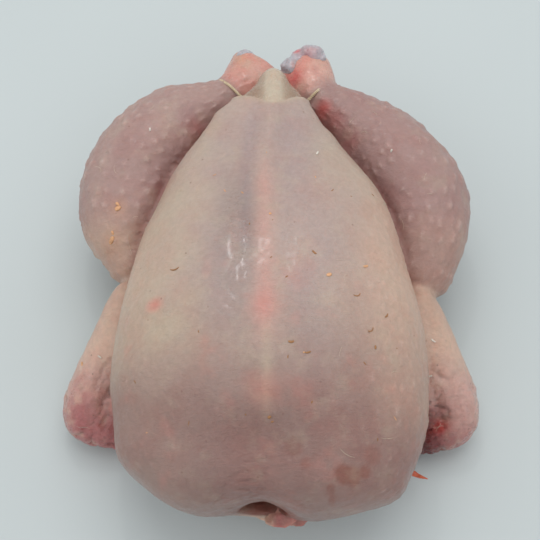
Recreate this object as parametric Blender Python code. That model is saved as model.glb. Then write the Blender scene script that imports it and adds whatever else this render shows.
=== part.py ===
"""A whole raw chicken, dressed and trussed, lying on its back with the breast up.

Frame, in metres: +X is the bird's left-to-right across the breast, +Y runs from the neck to the tail, +Z is up, and
the origin is the centre of the ground the bird covers. The bird is one solid skin over trunk, legs and wings, with a
pocket at the neck. An elastic ties the two shanks together in the grooves that it presses into them.
"""

import math

import bmesh
import bpy
import numpy as np

MM = 0.001

# Stations are (x, y, z, half width, half height) in millimetres, in the bird's own frame, whose floor is z = 0.
BREAST = (
    (1.5, 74.5, 81, 9, 7),
    (1.3, 66, 80, 17.7, 10.5),
    (0.3, 58, 77.5, 24.8, 15),
    (-0.8, 49, 75, 32, 20),
    (-1, 28, 67, 48.5, 34),
    (0, 4, 61, 60, 43),
    (0, -28, 59, 68, 48),
    (0, -60, 58, 73, 49),
    (-0.5, -88, 56, 73.5, 47),
    (-4, -114.5, 52, 67.5, 40),
)
ABDOMEN = (
    (0, 10, 50, 44, 32),
    (0, 42, 48, 34, 26),
    (0, 58, 45, 24, 20),
)
BACK = (
    (0, -108, 26, 44, 24),
    (0, -80, 29, 56, 32),
    (0, -30, 29, 58, 32),
    (0, 20, 29, 58, 32),
    (0, 55, 26, 50, 28),
    (0, 70, 25, 36, 23),
)
TAIL = (
    (0, 66, 24, 26, 16),
    (0, 80, 24, 19, 13),
    (0, 93, 27, 13, 9),
)
LEG_LEFT = (
    (-67, -1, 38, 17, 20),
    (-72, 15, 43, 24, 26),
    (-70.5, 34, 46, 26.5, 27),
    (-62, 52, 50, 26, 26),
    (-47, 66, 54.5, 22, 21),
    (-32.5, 73, 59, 15, 15),
    (-21, 80, 61, 10.5, 10.5),
    (-12.5, 87.4, 61, 14, 12),
    (-6, 96.5, 61, 15.6, 11.5),
)
LEG_RIGHT = (
    (73, -9, 38, 19.5, 21),
    (77.5, 9, 43, 22.5, 25),
    (76, 28, 46, 25, 26),
    (65.5, 46.5, 50, 23, 24.5),
    (51.5, 61, 52.5, 20, 20.5),
    (38, 70, 58.5, 15, 15),
    (26, 78, 61, 11, 11),
    (21, 88, 61, 13.8, 12),
    (18, 98, 61, 13.2, 11),
)
THIGH_LEFT = (
    (-34, 50, 33, 24, 26),
    (-50, 28, 33, 26, 27),
    (-58, 6, 35, 20, 24),
)
THIGH_RIGHT = (
    (34, 50, 33, 24, 26),
    (52, 26, 33, 26, 27),
    (60, 2, 35, 20, 24),
)
WING_LEFT = (
    (-52, -80, 42, 16, 17),
    (-62, -52, 40, 14, 15),
    (-67, -28, 40, 11, 14),
    (-73, -36, 36, 11, 14),
    (-82, -56, 27, 13, 15),
    (-90, -73, 17, 13, 15),
    (-87, -81, 13, 12, 13),
    (-67, -85, 9, 9, 9),
    (-50, -88, 7, 7, 7),
)
WING_RIGHT = (
    (52, -80, 42, 16, 17),
    (64, -52, 40, 14, 15),
    (71, -32, 40, 11, 14),
    (77, -38, 36, 11, 14),
    (84, -58, 27, 13, 15),
    (91, -75, 17, 13, 15),
    (87, -83, 13, 12, 13),
    (66, -88, 9, 9, 9),
    (50, -91, 7, 7, 7),
)
WEB_LEFT = (
    (-64, -40, 32, 9, 14),
    (-68, -60, 26, 10, 14),
    (-72, -76, 20, 9, 12),
)
WEB_RIGHT = (
    (67, -42, 32, 9, 14),
    (70, -60, 26, 10, 14),
    (74, -77, 20, 9, 12),
)
NECK_POCKET = (
    (-3.5, -104, 36.5, 7.5, 5),
    (-3.5, -116, 39, 9, 7),
    (-3.5, -126, 41, 10, 8.5),
    (-3.5, -148, 44, 11.5, 10.5),
)
# The elastic's centre line round both shanks.
ELASTIC = (
    (-20.5, 79.5, 72),
    (-25.5, 84.5, 69),
    (-28.5, 87, 61),
    (-25.5, 84.5, 53),
    (-19, 79, 50),
    (2, 74, 51),
    (22, 77, 50),
    (29, 82, 53),
    (33, 86, 61),
    (30, 82.5, 68),
    (24, 76, 72),
    (18.5, 71, 70.5),
    (10, 69, 65),
    (2, 68.5, 63),
    (-8, 70, 65),
    (-15, 74, 70.5),
)

AROUND = 40
RING_STEP = 4.0
DOME_RINGS = 5
VOXEL = 3.2
SMOOTH_FACTOR = 0.6
SMOOTH_ROUNDS = 5
SKIN_FACES = 5600
ELASTIC_RADIUS = 0.95
GROOVE_RADIUS = 1.5
ELASTIC_STEPS = 4
ELASTIC_SIDES = 8
GROOVE_SIDES = 10
MERGE = 0.02

SKIN_COLOUR = (0.53, 0.35, 0.29, 1.0)
ELASTIC_COLOUR = (0.62, 0.50, 0.33, 1.0)


def between(stations, t, closed=False):
    """The stations at the fractions t, on a Catmull-Rom curve through them."""
    rows = np.asarray(stations, float)
    if closed:
        padded = np.vstack([rows[-1:], rows, rows[:2]])
    else:
        padded = np.vstack([2 * rows[0] - rows[1], rows, 2 * rows[-1] - rows[-2]])
    last = len(padded) - 4
    at = t * (last + 1)
    i = np.minimum(at.astype(int), last)
    u = (at - i)[:, None]
    p0, p1, p2, p3 = (padded[i + k] for k in range(4))
    return 0.5 * (
        2 * p1
        + (p2 - p0) * u
        + (2 * p0 - 5 * p1 + 4 * p2 - p3) * u**2
        + (3 * p1 - p0 - 3 * p2 + p3) * u**3
    )


def rings_faces(rings, sides, closed):
    """Quads between rings of equal sides, and a fan of triangles to a pole at each open end."""
    pairs = rings if closed else rings - 1
    faces = []
    for r in range(pairs):
        a, b = r * sides, (r + 1) % rings * sides
        faces += [(a + k, a + (k + 1) % sides, b + (k + 1) % sides, b + k) for k in range(sides)]
    if not closed:
        first, last, top = rings * sides, rings * sides + 1, (rings - 1) * sides
        faces += [(first, (k + 1) % sides, k) for k in range(sides)]
        faces += [(last, top + k, top + (k + 1) % sides) for k in range(sides)]
    return faces


def across(way):
    """Two unit vectors square to each way: one level, and one that leans up."""
    side = np.cross(way, (0, 0, 1.0))
    side /= np.linalg.norm(side, axis=1)[:, None]
    return side, np.cross(side, way)


def loft(stations, start, end, power=2.0):
    """A closed round form: superellipse rings square to a smooth path, with a dome of the given length at each end."""
    rows = np.asarray(stations, float)
    long = np.linalg.norm(np.diff(rows[:, :3], axis=0), axis=1).sum()
    body = between(rows, np.linspace(0, 1, max(6, int(long / RING_STEP))))
    way = np.gradient(body[:, :3], axis=0)
    way /= np.linalg.norm(way, axis=1)[:, None]
    rise = np.arange(1, DOME_RINGS + 1) / (DOME_RINGS + 1) * math.pi / 2

    def dome(row, toward, angles):
        made = np.repeat(row[None], DOME_RINGS, axis=0)
        made[:, :3] += toward * np.sin(angles)[:, None]
        made[:, 3:] *= np.cos(angles)[:, None]
        return made

    first = dome(body[0], -way[0] * start, rise[::-1])
    last = dome(body[-1], way[-1] * end, rise)
    rings = np.vstack([first, body, last])
    way = np.vstack([np.repeat(way[:1], DOME_RINGS, 0), way, np.repeat(way[-1:], DOME_RINGS, 0)])
    side, up = across(way)
    turn = np.arange(AROUND) * 2 * math.pi / AROUND
    c = np.sign(np.cos(turn)) * np.abs(np.cos(turn)) ** (2 / power)
    s = np.sign(np.sin(turn)) * np.abs(np.sin(turn)) ** (2 / power)
    points = (
        rings[:, None, :3]
        + side[:, None] * (rings[:, 3, None] * c)[..., None]
        + up[:, None] * (rings[:, 4, None] * s)[..., None]
    )
    poles = np.array([rings[DOME_RINGS, :3] - way[0] * start, body[-1, :3] + way[-1] * end])
    return np.vstack([points.reshape(-1, 3), poles]), rings_faces(len(rings), AROUND, False)


def ring_tube(centres, radius, sides, steps):
    """A closed ring of round section along a smooth loop through the centres."""
    count = len(centres) * steps
    path = between(centres, np.arange(count) / count, closed=True)
    way = np.roll(path, -1, axis=0) - np.roll(path, 1, axis=0)
    way /= np.linalg.norm(way, axis=1)[:, None]
    out = path - path.mean(axis=0)
    out -= way * (out * way).sum(axis=1)[:, None]
    out /= np.linalg.norm(out, axis=1)[:, None]
    over = np.cross(way, out)
    turn = np.arange(sides) * 2 * math.pi / sides
    points = path[:, None] + radius * (
        out[:, None] * np.cos(turn)[:, None] + over[:, None] * np.sin(turn)[:, None]
    )
    return points.reshape(-1, 3), rings_faces(count, sides, True)


def joined(forms):
    """One list of points and one of faces from several."""
    points, faces, n = [], [], 0
    for form_points, form_faces in forms:
        points.append(form_points)
        faces += [tuple(v + n for v in face) for face in form_faces]
        n += len(form_points)
    return np.vstack(points), faces


def mesh_object(name, points, faces):
    """A mesh object of the points, given in millimetres, with every face turned outward."""
    mesh = bpy.data.meshes.new(name)
    mesh.from_pydata([tuple(p) for p in points * MM], [], faces)
    bm = bmesh.new()
    bm.from_mesh(mesh)
    bmesh.ops.recalc_face_normals(bm, faces=bm.faces)
    bm.to_mesh(mesh)
    bm.free()
    made = bpy.data.objects.new(name, mesh)
    bpy.context.scene.collection.objects.link(made)
    return made


def settle(piece):
    """Replace the piece's mesh by what its modifiers make of it."""
    bpy.context.view_layer.update()
    made = bpy.data.meshes.new_from_object(piece.evaluated_get(bpy.context.evaluated_depsgraph_get()))
    piece.modifiers.clear()
    piece.data = made


def take_away(piece, cutter):
    """Cut the cutter's form out of the piece, and remove the cutter."""
    cut = piece.modifiers.new("Cut", "BOOLEAN")
    cut.operation = "DIFFERENCE"
    cut.solver = "EXACT"
    cut.object = cutter
    settle(piece)
    bpy.data.objects.remove(cutter)


def flat_floor(piece):
    """Cut the piece level at z = 0 and close it there, so that it has a flat to rest on."""
    bm = bmesh.new()
    bm.from_mesh(piece.data)
    everything = bm.verts[:] + bm.edges[:] + bm.faces[:]
    cut = bmesh.ops.bisect_plane(bm, geom=everything, plane_co=(0, 0, 0), plane_no=(0, 0, 1), clear_inner=True)
    rim = [e for e in cut["geom_cut"] if isinstance(e, bmesh.types.BMEdge)]
    bmesh.ops.contextual_create(bm, geom=rim)
    bmesh.ops.remove_doubles(bm, verts=bm.verts, dist=MERGE * MM)
    bmesh.ops.triangulate(bm, faces=bm.faces)
    bmesh.ops.recalc_face_normals(bm, faces=bm.faces)
    bm.to_mesh(piece.data)
    bm.free()


def material(name, colour, roughness):
    made = bpy.data.materials.new(name)
    made.use_nodes = True
    shader = made.node_tree.nodes["Principled BSDF"]
    shader.inputs["Base Color"].default_value = colour
    shader.inputs["Roughness"].default_value = roughness
    shader.inputs["Metallic"].default_value = 0.0
    return made


for old in list(bpy.data.objects):
    bpy.data.objects.remove(old)

forms = [
    loft(BREAST, 7, 25, 2.3),
    loft(ABDOMEN, 10, 8, 2.2),
    loft(BACK, 16, 10, 2.3),
    loft(TAIL, 8, 8),
    loft(LEG_LEFT, 16, 4),
    loft(LEG_RIGHT, 16, 4),
    loft(THIGH_LEFT, 20, 18),
    loft(THIGH_RIGHT, 20, 18),
    loft(WING_LEFT, 10, 6),
    loft(WING_RIGHT, 10, 6),
    loft(WEB_LEFT, 8, 8),
    loft(WEB_RIGHT, 8, 8),
]
chicken = mesh_object("chicken", *joined(forms))
skin = chicken.modifiers.new("Skin", "REMESH")
skin.mode = "VOXEL"
skin.voxel_size = VOXEL * MM
smooth = chicken.modifiers.new("Smooth", "SMOOTH")
smooth.factor = SMOOTH_FACTOR
smooth.iterations = SMOOTH_ROUNDS
settle(chicken)
fewer = chicken.modifiers.new("Fewer", "DECIMATE")
fewer.ratio = SKIN_FACES / sum(len(face.vertices) - 2 for face in chicken.data.polygons)
settle(chicken)
take_away(chicken, mesh_object("neck_cutter", *loft(NECK_POCKET, 8, 4)))
groove = ring_tube(ELASTIC, GROOVE_RADIUS, GROOVE_SIDES, ELASTIC_STEPS)
take_away(chicken, mesh_object("groove_cutter", *groove))
flat_floor(chicken)
band = ring_tube(ELASTIC, ELASTIC_RADIUS, ELASTIC_SIDES, ELASTIC_STEPS)
elastic = mesh_object("truss_elastic", *band)

corners = np.array([v.co for v in chicken.data.vertices])
middle = (corners.min(axis=0) + corners.max(axis=0)) / 2
for piece, look in (
    (chicken, material("raw_skin", SKIN_COLOUR, 0.42)),
    (elastic, material("elastic_cream", ELASTIC_COLOUR, 0.55)),
):
    shifted = np.array([v.co for v in piece.data.vertices]) - (middle[0], middle[1], 0)
    piece.data.vertices.foreach_set("co", shifted.ravel())
    piece.data.materials.clear()
    piece.data.materials.append(look)
    piece.data.shade_smooth()
    piece.data.update()
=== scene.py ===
"""The looks of a whole raw chicken, trussed with an elastic, on a pale floor."""

import math

import bmesh
import bpy
import numpy as np
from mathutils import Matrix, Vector
from mathutils.bvhtree import BVHTree


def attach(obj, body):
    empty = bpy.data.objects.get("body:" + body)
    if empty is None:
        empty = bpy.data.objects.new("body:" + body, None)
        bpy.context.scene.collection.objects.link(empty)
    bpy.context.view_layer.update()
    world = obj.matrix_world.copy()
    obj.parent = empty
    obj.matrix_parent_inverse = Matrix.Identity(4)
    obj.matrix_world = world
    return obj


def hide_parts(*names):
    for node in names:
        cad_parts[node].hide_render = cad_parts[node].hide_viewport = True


bl_info = {
    "name": "Raw chicken",
    "version": (1, 0, 0),
    "blender": (4, 5, 0),
    "location": "View3D > Sidebar > Chicken",
    "description": "Makes a whole raw chicken with its skin, cut ends and elastic",
    "category": "Mesh",
}

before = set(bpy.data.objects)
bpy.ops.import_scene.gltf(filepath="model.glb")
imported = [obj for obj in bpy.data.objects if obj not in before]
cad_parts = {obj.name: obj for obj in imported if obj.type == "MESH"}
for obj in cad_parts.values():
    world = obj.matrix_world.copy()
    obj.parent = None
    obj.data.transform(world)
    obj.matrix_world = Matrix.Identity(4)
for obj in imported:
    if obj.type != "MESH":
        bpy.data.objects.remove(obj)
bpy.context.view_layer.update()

MM = 0.001

# Stations along each form: x, y, z, half width and half height, in millimetres, in the bird's own frame.
BREAST = (
    (1.5, 74.5, 81, 9, 7), (1.3, 66, 80, 17.7, 10.5), (0.3, 58, 77.5, 24.8, 15), (-0.8, 49, 75, 32, 20),
    (-1, 28, 67, 48.5, 34), (0, 4, 61, 60, 43), (0, -28, 59, 68, 48), (0, -60, 58, 73, 49),
    (-0.5, -88, 56, 73.5, 47), (-4, -114.5, 52, 67.5, 40),
)
ABDOMEN = (
    (0, 10, 50, 44, 32), (0, 42, 48, 34, 26), (0, 58, 45, 24, 20),
)
BACK = (
    (0, -108, 26, 44, 24), (0, -80, 29, 56, 32), (0, -30, 29, 58, 32), (0, 20, 29, 58, 32),
    (0, 55, 26, 50, 28), (0, 70, 25, 36, 23),
)
TAIL = (
    (0, 66, 24, 26, 16), (0, 80, 24, 19, 13), (0, 93, 27, 13, 9),
)
LEG_LEFT = (
    (-67, -1, 38, 17, 20), (-72, 15, 43, 24, 26), (-70.5, 34, 46, 26.5, 27), (-62, 52, 50, 26, 26),
    (-47, 66, 54.5, 22, 21), (-32.5, 73, 59, 15, 15), (-21, 80, 61, 10.5, 10.5), (-12.5, 87.4, 61, 14, 12),
    (-6, 96.5, 61, 15.6, 11.5),
)
LEG_RIGHT = (
    (73, -9, 38, 19.5, 21), (77.5, 9, 43, 22.5, 25), (76, 28, 46, 25, 26), (65.5, 46.5, 50, 23, 24.5),
    (51.5, 61, 52.5, 20, 20.5), (38, 70, 58.5, 15, 15), (26, 78, 61, 11, 11), (21, 88, 61, 13.8, 12),
    (18, 98, 61, 13.2, 11),
)
THIGH_LEFT = (
    (-34, 50, 33, 24, 26), (-50, 28, 33, 26, 27), (-58, 6, 35, 20, 24),
)
THIGH_RIGHT = (
    (34, 50, 33, 24, 26), (52, 26, 33, 26, 27), (60, 2, 35, 20, 24),
)
WING_LEFT = (
    (-52, -80, 42, 16, 17), (-62, -52, 40, 14, 15), (-67, -28, 40, 11, 14), (-73, -36, 36, 11, 14),
    (-82, -56, 27, 13, 15), (-90, -73, 17, 13, 15), (-87, -81, 13, 12, 13), (-67, -85, 9, 9, 9),
    (-50, -88, 7, 7, 7),
)
WING_RIGHT = (
    (52, -80, 42, 16, 17), (64, -52, 40, 14, 15), (71, -32, 40, 11, 14), (77, -38, 36, 11, 14),
    (84, -58, 27, 13, 15), (91, -75, 17, 13, 15), (87, -83, 13, 12, 13), (66, -88, 9, 9, 9),
    (50, -91, 7, 7, 7),
)
WEB_LEFT = (
    (-64, -40, 32, 9, 14), (-68, -60, 26, 10, 14), (-72, -76, 20, 9, 12),
)
WEB_RIGHT = (
    (67, -42, 32, 9, 14), (70, -60, 26, 10, 14), (74, -77, 20, 9, 12),
)
NECK_POCKET = (
    (-3.5, -104, 36.5, 7.5, 5), (-3.5, -116, 39, 9, 7), (-3.5, -126, 41, 10, 8.5),
    (-3.5, -148, 44, 11.5, 10.5),
)
ELASTIC = (
    (-20.5, 79.5, 72), (-25.5, 84.5, 69), (-28.5, 87, 61), (-25.5, 84.5, 53), (-19, 79, 50), (2, 74, 51),
    (22, 77, 50), (29, 82, 53), (33, 86, 61), (30, 82.5, 68), (24, 76, 72), (18.5, 71, 70.5), (10, 69, 65),
    (2, 68.5, 63), (-8, 70, 65), (-15, 74, 70.5),
)
FORMS = {
    "breast": (BREAST, 7, 25, 2.3),
    "abdomen": (ABDOMEN, 10, 8, 2.2),
    "back": (BACK, 16, 10, 2.3),
    "tail": (TAIL, 8, 8, 2.0),
    "leg_left": (LEG_LEFT, 16, 4, 2.0),
    "leg_right": (LEG_RIGHT, 16, 4, 2.0),
    "thigh_left": (THIGH_LEFT, 20, 18, 2.0),
    "thigh_right": (THIGH_RIGHT, 20, 18, 2.0),
    "wing_left": (WING_LEFT, 10, 6, 2.0),
    "wing_right": (WING_RIGHT, 10, 6, 2.0),
    "web_left": (WEB_LEFT, 8, 8, 2.0),
    "web_right": (WEB_RIGHT, 8, 8, 2.0),
}
# The middle of the bird's own frame, which the model's origin stands under.
BIRD_MIDDLE = np.array((0.34, -17.92, 0.0))
# In millimetres: the neck opening's middle, how far past its rings its walls may lie, the gap between
# the rings that points are measured from, and the height above which the marks lie.
NECK_X = NECK_POCKET[0][0]
POCKET_SLACK = 0.8
REACH_STEP = 3.0
MARKS_ABOVE = 12
CREASE_ROUNDS = 30


# Numbers and noise


def ease(low, high, value):
    """0 below low, 1 above high, and a smooth cubic step between."""
    t = np.clip((value - low) / (high - low), 0, 1)
    return t * t * (3 - 2 * t)


def hill(value, middle, width):
    """A bell of height 1 round the middle: e to the minus square of the distance over the width."""
    return np.exp(-(((value - middle) / width) ** 2))


def linear(colour):
    """Linear light from a colour written as it looks on a screen."""
    c = np.asarray(colour, float)
    return np.where(c <= 0.04045, c / 12.92, ((c + 0.055) / 1.055) ** 2.4)


def lattice(cells, seed):
    """A fixed number from -1 to 1 for each whole-number cell, by stirring its three numbers together."""
    n = cells[..., 0] * 73856093 ^ cells[..., 1] * 19349663 ^ cells[..., 2] * 83492791 ^ seed * 2654435761
    n = (n ^ (n >> 13)) * 1274126177
    n = (n ^ (n >> 16)) & 0xFFFF
    return n / 32767.5 - 1


def noise(points, size, seed):
    """Smooth noise from -1 to 1: lattice numbers a size apart, blended by a fifth-power fade."""
    p = points / size + seed * 7.31
    cell = np.floor(p).astype(np.int64)
    t = p - cell
    t = t * t * t * (t * (t * 6 - 15) + 10)
    total = np.zeros(len(p))
    for dx in (0, 1):
        for dy in (0, 1):
            for dz in (0, 1):
                share = (
                    (t[:, 0] if dx else 1 - t[:, 0])
                    * (t[:, 1] if dy else 1 - t[:, 1])
                    * (t[:, 2] if dz else 1 - t[:, 2])
                )
                total += share * lattice(cell + (dx, dy, dz), seed)
    return total


def rough_noise(points, size, octaves, seed):
    """Noise upon noise: each octave is half the size and half the height of the one before."""
    total, height = np.zeros(len(points)), 1.0
    for k in range(octaves):
        total += height * noise(points, size / 2**k, seed + k)
        height /= 2
    return total / 1.6


# Forms


def between(stations, t, closed=False):
    """The stations at the fractions t, on a Catmull-Rom curve through them."""
    rows = np.asarray(stations, float)
    if closed:
        padded = np.vstack([rows[-1:], rows, rows[:2]])
    else:
        padded = np.vstack([2 * rows[0] - rows[1], rows, 2 * rows[-1] - rows[-2]])
    last = len(padded) - 4
    at = t * (last + 1)
    i = np.minimum(at.astype(int), last)
    u = (at - i)[:, None]
    p0, p1, p2, p3 = (padded[i + k] for k in range(4))
    return 0.5 * (
        2 * p1
        + (p2 - p0) * u
        + (2 * p0 - 5 * p1 + 4 * p2 - p3) * u**2
        + (3 * p1 - p0 - 3 * p2 + p3) * u**3
    )


def unit(vectors):
    """Each vector over its own length."""
    return vectors / np.maximum(np.linalg.norm(vectors, axis=-1, keepdims=True), 1e-12)


def grid_faces(rows, columns, wrap_rows=False, wrap_columns=True):
    """The quads of a grid of points, as an array, wrapped round where told."""
    r = np.arange(rows if wrap_rows else rows - 1)[:, None]
    c = np.arange(columns if wrap_columns else columns - 1)[None, :]
    a, b = r * columns, (r + 1) % rows * columns
    d = (c + 1) % columns
    return np.stack([a + c, a + d, b + d, b + c], axis=-1).reshape(-1, 4)


def closed_tube(points):
    """Faces and points of a tube given as rings, with a fan to the middle of each end ring."""
    rings, sides = points.shape[:2]
    poles = points[[0, -1]].mean(axis=1)
    faces = [tuple(f) for f in grid_faces(rings, sides)]
    n, top = rings * sides, (rings - 1) * sides
    faces += [(n, (k + 1) % sides, k) for k in range(sides)]
    faces += [(n + 1, top + k, top + (k + 1) % sides) for k in range(sides)]
    return np.vstack([points.reshape(-1, 3), poles]), faces


def axis_rings(stations, start, end, step):
    """Rings' middles, half sizes and ways along a smooth path, with a quarter-round dome at each end."""
    rows = np.asarray(stations, float)
    long = np.linalg.norm(np.diff(rows[:, :3], axis=0), axis=1).sum()
    body = between(rows, np.linspace(0, 1, max(6, int(long / step))))
    way = unit(np.gradient(body[:, :3], axis=0))
    rise = np.linspace(0.04, 0.99, max(5, int(max(start, end) / step))) * math.pi / 2

    def dome(row, toward, angles):
        made = np.repeat(row[None], len(angles), axis=0)
        made[:, :3] += toward * np.sin(angles)[:, None]
        made[:, 3:] *= np.cos(angles)[:, None]
        return made

    first = dome(body[0], -way[0] * start, rise[::-1])
    last = dome(body[-1], way[-1] * end, rise)
    ways = np.vstack([np.repeat(way[:1], len(rise), 0), way, np.repeat(way[-1:], len(rise), 0)])
    return np.vstack([first, body, last]), ways


def loft(stations, start, end, power=2.0, step=2.0, around=96, belly=1.0):
    """A closed round form: superellipse rings square to a smooth path. The ring is
    (width * cos(a)^(2/power), height * sin(a)^(2/power)), and belly scales its lower half."""
    rings, way = axis_rings(stations, start, end, step)
    side = unit(np.cross(way, (0, 0, 1.0)))
    up = np.cross(side, way)
    turn = np.arange(around) * 2 * math.pi / around
    c = np.sign(np.cos(turn)) * np.abs(np.cos(turn)) ** (2 / power)
    s = np.sign(np.sin(turn)) * np.abs(np.sin(turn)) ** (2 / power)
    s = np.where(s < 0, s * belly, s)
    points = (
        rings[:, None, :3]
        + side[:, None] * (rings[:, 3, None] * c)[..., None]
        + up[:, None] * (rings[:, 4, None] * s)[..., None]
    )
    return closed_tube(points)


def joined(forms):
    """One array of points and one list of faces from several."""
    points, faces, n = [], [], 0
    for form_points, form_faces in forms:
        points.append(form_points)
        faces += [tuple(int(v) + n for v in face) for face in form_faces]
        n += len(form_points)
    return np.vstack(points), faces


def mesh_object(name, points, faces):
    """An object of the points, given in the bird's own millimetres, with its faces turned outwards."""
    mesh = bpy.data.meshes.new(name)
    mesh.from_pydata((points - BIRD_MIDDLE) * MM, [], faces)
    bm = bmesh.new()
    bm.from_mesh(mesh)
    bmesh.ops.recalc_face_normals(bm, faces=bm.faces)
    bm.to_mesh(mesh)
    bm.free()
    mesh.shade_smooth()
    made = bpy.data.objects.new(name, mesh)
    bpy.context.scene.collection.objects.link(made)
    return made


def settle(piece):
    """Replace the piece's mesh by what its modifiers make of it."""
    bpy.context.view_layer.update()
    made = bpy.data.meshes.new_from_object(piece.evaluated_get(bpy.context.evaluated_depsgraph_get()))
    piece.modifiers.clear()
    old = piece.data
    piece.data = made
    bpy.data.meshes.remove(old)


def remesh(piece, voxel):
    """Join what the piece's closed forms cover into one even skin of quads, a voxel across."""
    skin = piece.modifiers.new("Skin", "REMESH")
    skin.mode = "VOXEL"
    skin.voxel_size = voxel * MM
    settle(piece)


def read_points(mesh):
    """The mesh's points in the bird's own millimetres."""
    flat = np.empty(len(mesh.vertices) * 3)
    mesh.vertices.foreach_get("co", flat)
    return flat.reshape(-1, 3) / MM + BIRD_MIDDLE


def write_points(mesh, points):
    """Put points in the bird's own millimetres back into the mesh."""
    mesh.vertices.foreach_set("co", ((points - BIRD_MIDDLE) * MM).ravel())
    mesh.update()


def read_normals(mesh):
    flat = np.empty(len(mesh.vertices) * 3, dtype=np.float32)
    mesh.vertex_normals.foreach_get("vector", flat)
    return flat.reshape(-1, 3).astype(float)


class Neighbours:
    """Means over each point's neighbours along the mesh's edges."""

    def __init__(self, mesh):
        flat = np.empty(len(mesh.edges) * 2, dtype=np.int32)
        mesh.edges.foreach_get("vertices", flat)
        pairs = flat.reshape(-1, 2)
        self.a, self.b, self.n = pairs[:, 0], pairs[:, 1], len(mesh.vertices)
        self.count = np.maximum(np.bincount(flat, minlength=self.n), 1)

    def mean(self, values):
        """The mean of the neighbours' values, a column at a time."""
        if values.ndim == 1:
            total = np.bincount(self.a, values[self.b], self.n) + np.bincount(self.b, values[self.a], self.n)
            return total / self.count
        return np.stack([self.mean(values[:, k]) for k in range(values.shape[1])], axis=1)

    def smooth(self, values, rounds):
        """Move each value half the way to its neighbours' mean, for so many rounds."""
        for _ in range(rounds):
            values = values + 0.5 * (self.mean(values) - values)
        return values


def put_colour(mesh, name, values):
    """Store three numbers for each point as a colour attribute."""
    full = np.hstack([values, np.ones((len(values), 1))])
    made = mesh.attributes.new(name, "FLOAT_COLOR", "POINT")
    made.data.foreach_set("color", np.ascontiguousarray(full, dtype=np.float32).ravel())


def reach(points, name):
    """How each point lies to a form: its rough distance outside the form's surface, how far along the
    form's path it is, and the angle round it, all from the nearest of the form's rings."""
    stations, start, end, power = FORMS[name]
    rings, way = axis_rings(stations, start, end, REACH_STEP)
    side = unit(np.cross(way, (0, 0, 1.0)))
    up = np.cross(side, way)
    along = np.concatenate([[0], np.cumsum(np.linalg.norm(np.diff(rings[:, :3], axis=0), axis=1))])
    best = np.full(len(points), 1e9)
    near = np.zeros(len(points), int)
    for k in range(len(rings)):
        gap = ((points - rings[k, :3]) ** 2).sum(axis=1)
        closer = gap < best
        best[closer] = gap[closer]
        near[closer] = k
    off = points - rings[near, :3]
    sideways = (off * side[near]).sum(axis=1)
    upward = (off * up[near]).sum(axis=1)
    ahead = (off * way[near]).sum(axis=1)
    a = sideways / np.maximum(rings[near, 3], 0.05)
    b = upward / np.maximum(rings[near, 4], 0.05)
    span = (np.abs(a) ** power + np.abs(b) ** power) ** (1 / power)
    outside = np.hypot(sideways, upward) * (1 - 1 / np.maximum(span, 1e-3))
    beyond = np.maximum(np.abs(ahead) - REACH_STEP, 0)
    outside = np.where(beyond > 0, np.hypot(np.maximum(outside, 0), beyond), outside)
    return outside, along[near] + ahead, np.arctan2(b, a)


def dots(u, v, spacing, jitter, seed):
    """The distance to the nearest of a field of points, and that point's own number from -1 to 1. The
    points are a honeycomb of the given spacing, each shaken by up to the jitter."""
    row_gap = spacing * 0.87
    best, own = np.full(len(u), 1e9), np.zeros(len(u))
    base_row = np.floor(v / row_gap)
    for dr in (-1, 0, 1):
        row = base_row + dr
        shift = (row % 2) * 0.5
        base = np.floor(u / spacing - shift)
        for dc in (-1, 0, 1):
            column = base + dc
            cell = np.stack([row, column, np.full_like(row, seed)], axis=1).astype(np.int64)
            pu = (column + 0.5 + shift) * spacing + jitter * lattice(cell, seed)
            pv = (row + 0.5) * row_gap + jitter * lattice(cell, seed + 1)
            gap = np.hypot(u - pu, v - pv)
            closer = gap < best
            best[closer] = gap[closer]
            own[closer] = lattice(cell, seed + 2)[closer]
    return best, own


def paint(tint, colour, share):
    """The tint moved towards the colour by the share at each point."""
    return tint + np.clip(share, 0, 1)[:, None] * (linear(colour) - tint)


# Materials


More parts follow.
